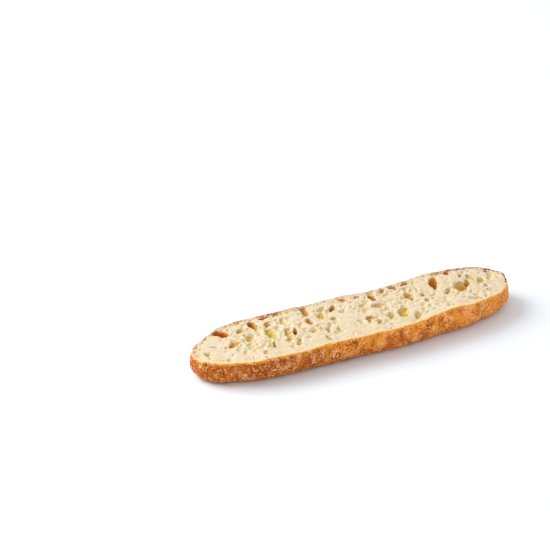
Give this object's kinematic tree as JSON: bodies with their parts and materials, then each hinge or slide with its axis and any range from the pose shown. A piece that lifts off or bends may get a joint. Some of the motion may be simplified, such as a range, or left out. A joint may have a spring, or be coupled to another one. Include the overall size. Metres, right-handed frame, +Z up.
{
  "type": "half baguette",
  "caption": "Lower half of a short baguette, sliced lengthwise: open holed crumb on top, browned crust round the side and a flat base.",
  "frame": {"origin": "on the flat base, under the middle of the loaf's bounding box", "axes": "+X along the loaf to the right-hand end, +Y to the far side, +Z up out of the cut face"},
  "size_m": [0.2712, 0.0672, 0.0239],
  "materials": {
    "bread": "matte bread: cream crumb on the cut face, golden brown floury crust on the wall and base"
  },
  "bodies": {
    "root": {"half_baguette": "bread"}
  },
  "joints": []
}
